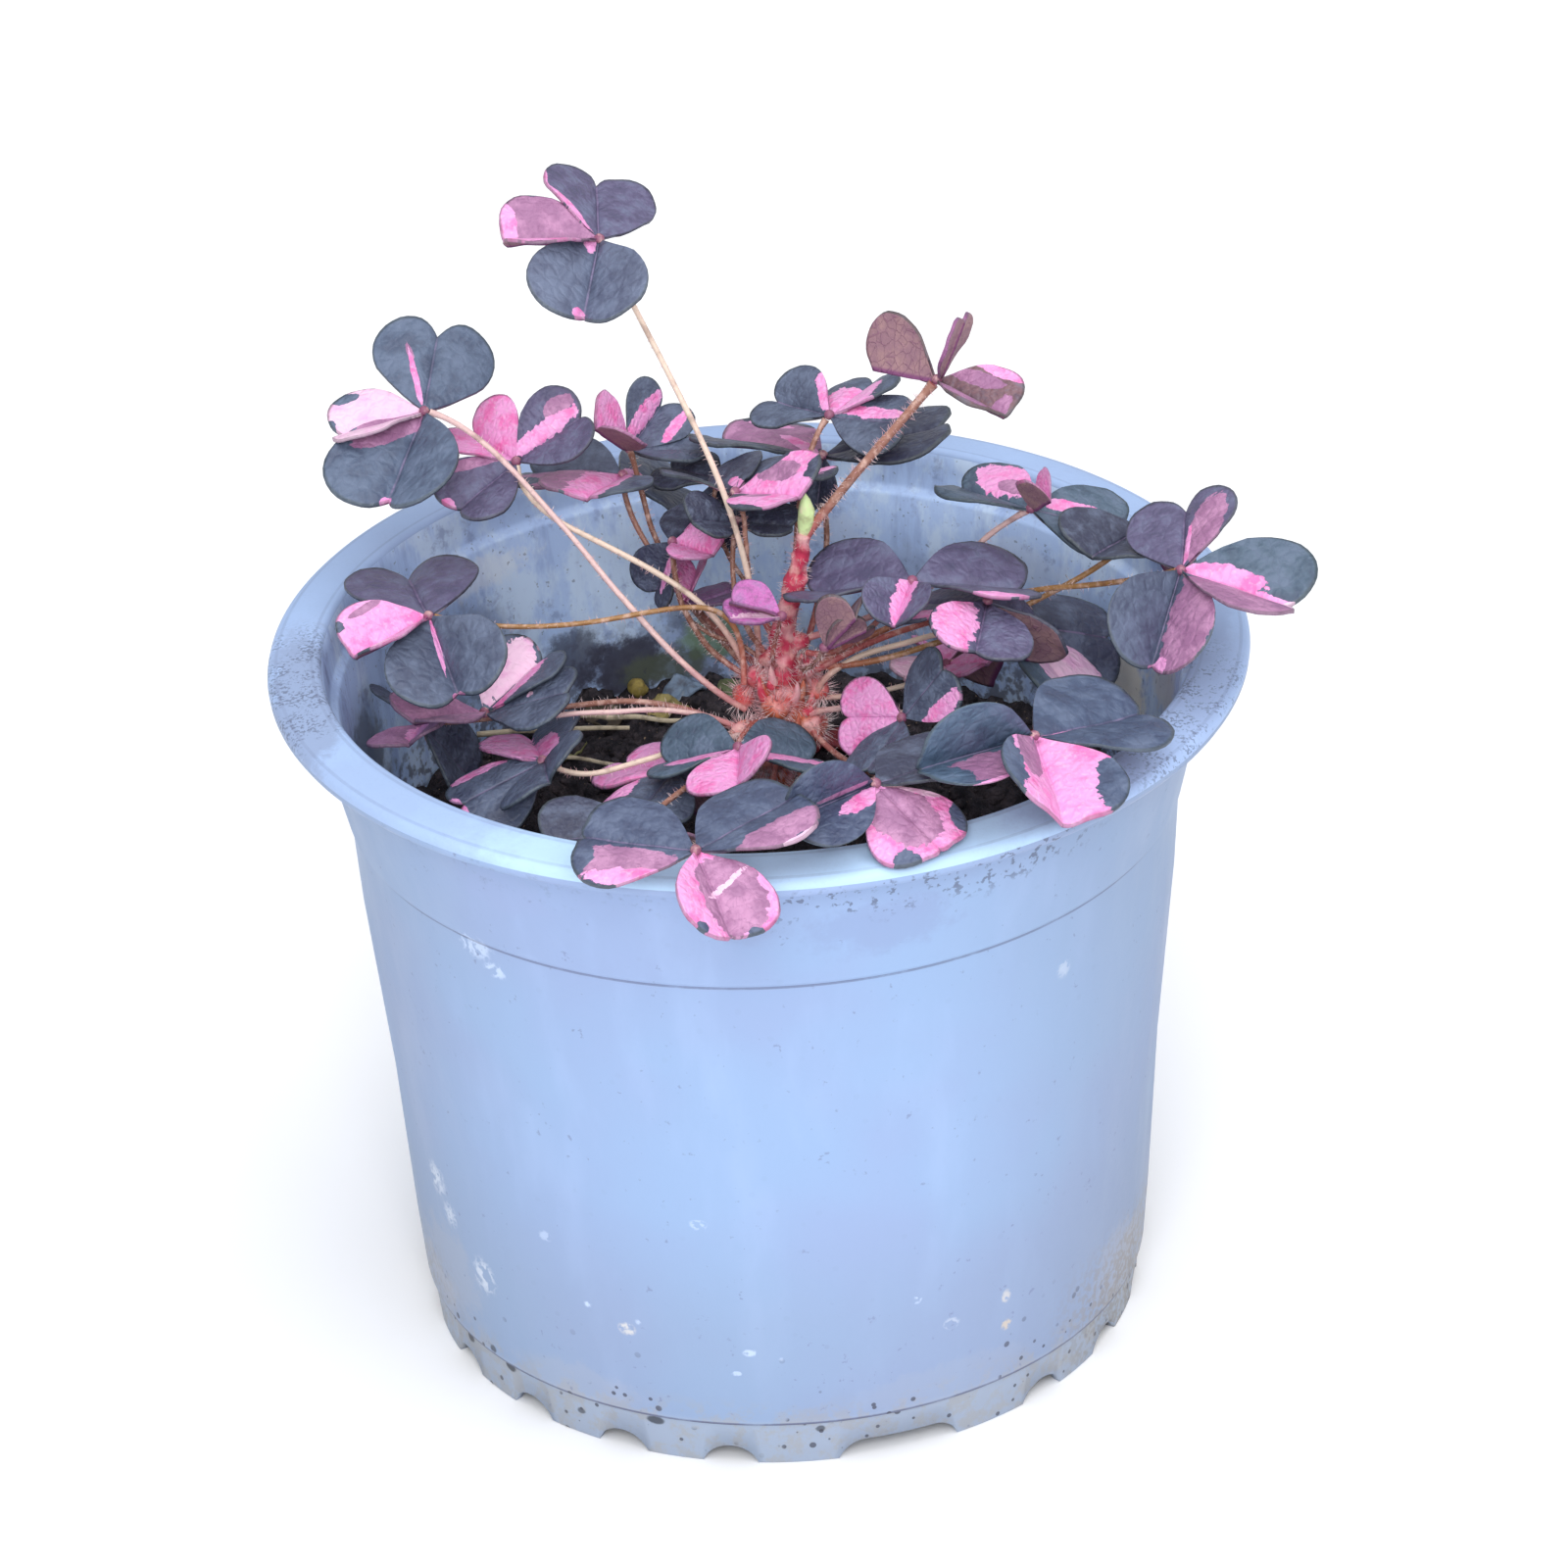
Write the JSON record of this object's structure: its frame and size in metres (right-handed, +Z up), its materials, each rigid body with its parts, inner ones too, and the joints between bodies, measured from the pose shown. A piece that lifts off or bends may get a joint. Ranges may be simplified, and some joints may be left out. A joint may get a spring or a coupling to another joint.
{
  "type": "potted purple shamrock",
  "caption": "Small purple shamrock with three-part folded leaves on thin hairy stalks from one crown, growing in soil in a round plastic nursery pot.",
  "frame": {"origin": "under the middle of the whole plant's bounding box, at the height of the pot's foot; the pot's axis stands 3.6 mm to the left and 8.3 mm behind", "axes": "+Z up along the pot's axis, -Y towards the side where a leaf lies over the rim, +X to the right seen from there"},
  "size_m": [0.1272, 0.1365, 0.1434],
  "materials": {
    "pot_plastic": "matte lavender blue plastic, scuffed and dusty",
    "soil": "dark crumbly potting soil",
    "stems": "hairy crimson stem and pink tan leaf stalks",
    "leaves": "matte purple-green leaf with pink and white patches"
  },
  "bodies": {
    "root": {"leaf_back": "leaves", "leaf_back_dark": "leaves", "leaf_back_left": "leaves", "leaf_back_left_far": "leaves", "leaf_back_low": "leaves", "leaf_bronze": "leaves", "leaf_east": "leaves", "leaf_east_back": "leaves", "leaf_east_back_dark": "leaves", "leaf_east_front": "leaves", "leaf_east_high": "leaves", "leaf_east_inner": "leaves", "leaf_east_low": "leaves", "leaf_inner_pink": "leaves", "leaf_inner_small": "leaves", "leaf_magenta": "leaves", "leaf_middle": "leaves", "leaf_middle_back": "leaves", "leaf_middle_east": "leaves", "leaf_north_small": "leaves", "leaf_south": "leaves", "leaf_south_east": "leaves", "leaf_south_inner": "leaves", "leaf_south_rim": "leaves", "leaf_south_wall": "leaves", "leaf_south_west": "leaves", "leaf_top": "leaves", "leaf_violet": "leaves", "leaf_west": "leaves", "leaf_west_back": "leaves", "leaf_west_high": "leaves", "leaf_west_low": "leaves", "leaf_west_wall": "leaves", "pot": "pot_plastic", "soil": "soil", "stems": "stems"}
  },
  "joints": []
}
